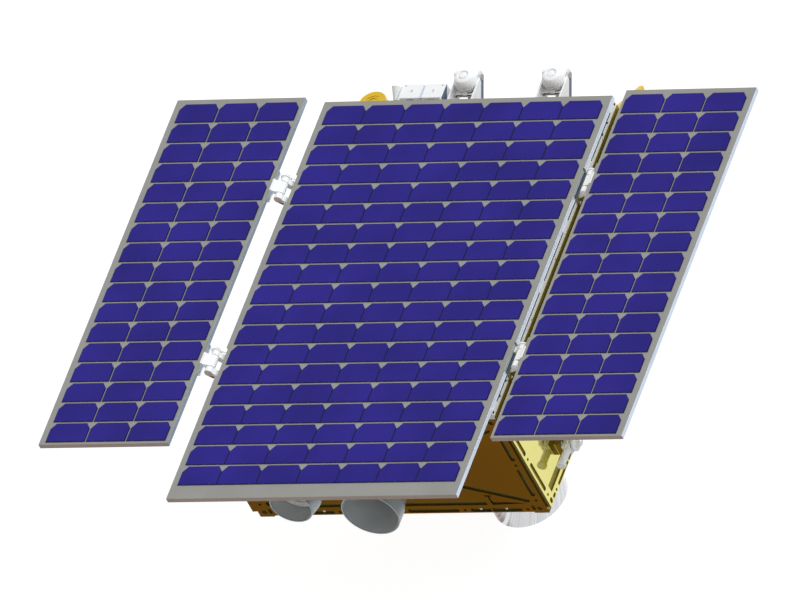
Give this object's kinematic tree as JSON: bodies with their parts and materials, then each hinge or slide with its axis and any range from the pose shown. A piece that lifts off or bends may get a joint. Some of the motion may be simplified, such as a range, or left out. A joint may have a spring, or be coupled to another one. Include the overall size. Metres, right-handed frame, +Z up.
{
  "type": "small satellite with two hinged solar wings",
  "caption": "Box satellite of gold chromated plates with a fixed solar panel, two hinged solar wings, two baffled imagers, dome sensors and a launch ring.",
  "frame": {"origin": "centre of the launch ring's lower face", "axes": "+X across the wings, +Y along the box towards its receiver end, +Z up out of the solar cells"},
  "size_m": [1.0262, 0.893, 0.3355],
  "materials": {
    "gold_plate": "gold chromate on milled aluminium",
    "ring_metal": "turned, clear coated",
    "inner_metal": "plain",
    "polished_metal": "polished",
    "white_paint": "matt white thermal paint",
    "panel_sheet": "matt grey face sheet",
    "solar_cell": "dark blue under cover glass",
    "baffle_metal": "satin grey anodised",
    "lens_glass": "coated lens"
  },
  "bodies": {
    "bus": {"adapter_ring": "ring_metal", "adapter_foot": "ring_metal", "adapter_head": "ring_metal", "back_deck": "gold_plate", "front_deck": "gold_plate", "end_plate_lower": "gold_plate", "end_plate_upper": "gold_plate", "side_plate_left": "gold_plate", "side_plate_right": "gold_plate", "avionics_stack": "inner_metal", "back_canister": "polished_metal", "rail_left": "white_paint", "rail_right": "white_paint", "centre_panel": "panel_sheet", "centre_cells": "solar_cell", "hinge_base_left_upper": "white_paint", "hinge_base_left_lower": "white_paint", "hinge_base_right_upper": "white_paint", "hinge_base_right_lower": "white_paint", "hold_down_left_upper": "white_paint", "hold_down_left_lower": "white_paint", "hold_down_right_upper": "white_paint", "hold_down_right_lower": "white_paint", "baffle_large": "baffle_metal", "baffle_small": "baffle_metal", "lens_large": "lens_glass", "lens_small": "lens_glass", "yoke_left": "white_paint", "yoke_right": "white_paint", "dome_head_left": "white_paint", "dome_head_right": "white_paint", "receiver_tray": "white_paint", "receiver_boxes": "white_paint", "gold_drum": "gold_plate", "corner_bracket": "gold_plate"},
    "wing_left": {"wing_panel_left": "panel_sheet", "wing_cells_left": "solar_cell", "hinge_leaf_left_upper": "white_paint", "hinge_leaf_left_lower": "white_paint"},
    "wing_right": {"wing_panel_right": "panel_sheet", "wing_cells_right": "solar_cell", "hinge_leaf_right_upper": "white_paint", "hinge_leaf_right_lower": "white_paint"}
  },
  "joints": [
    {"name": "wing_left_hinge", "type": "hinge", "parent": "bus", "child": "wing_left", "pos_m": [-0.271, 0, 0.321], "axis": [0, -1, 0], "range_deg": [0, 80]},
    {"name": "wing_right_hinge", "type": "hinge", "parent": "bus", "child": "wing_right", "pos_m": [0.271, 0, 0.321], "axis": [0, 1, 0], "range_deg": [0, 80]}
  ]
}
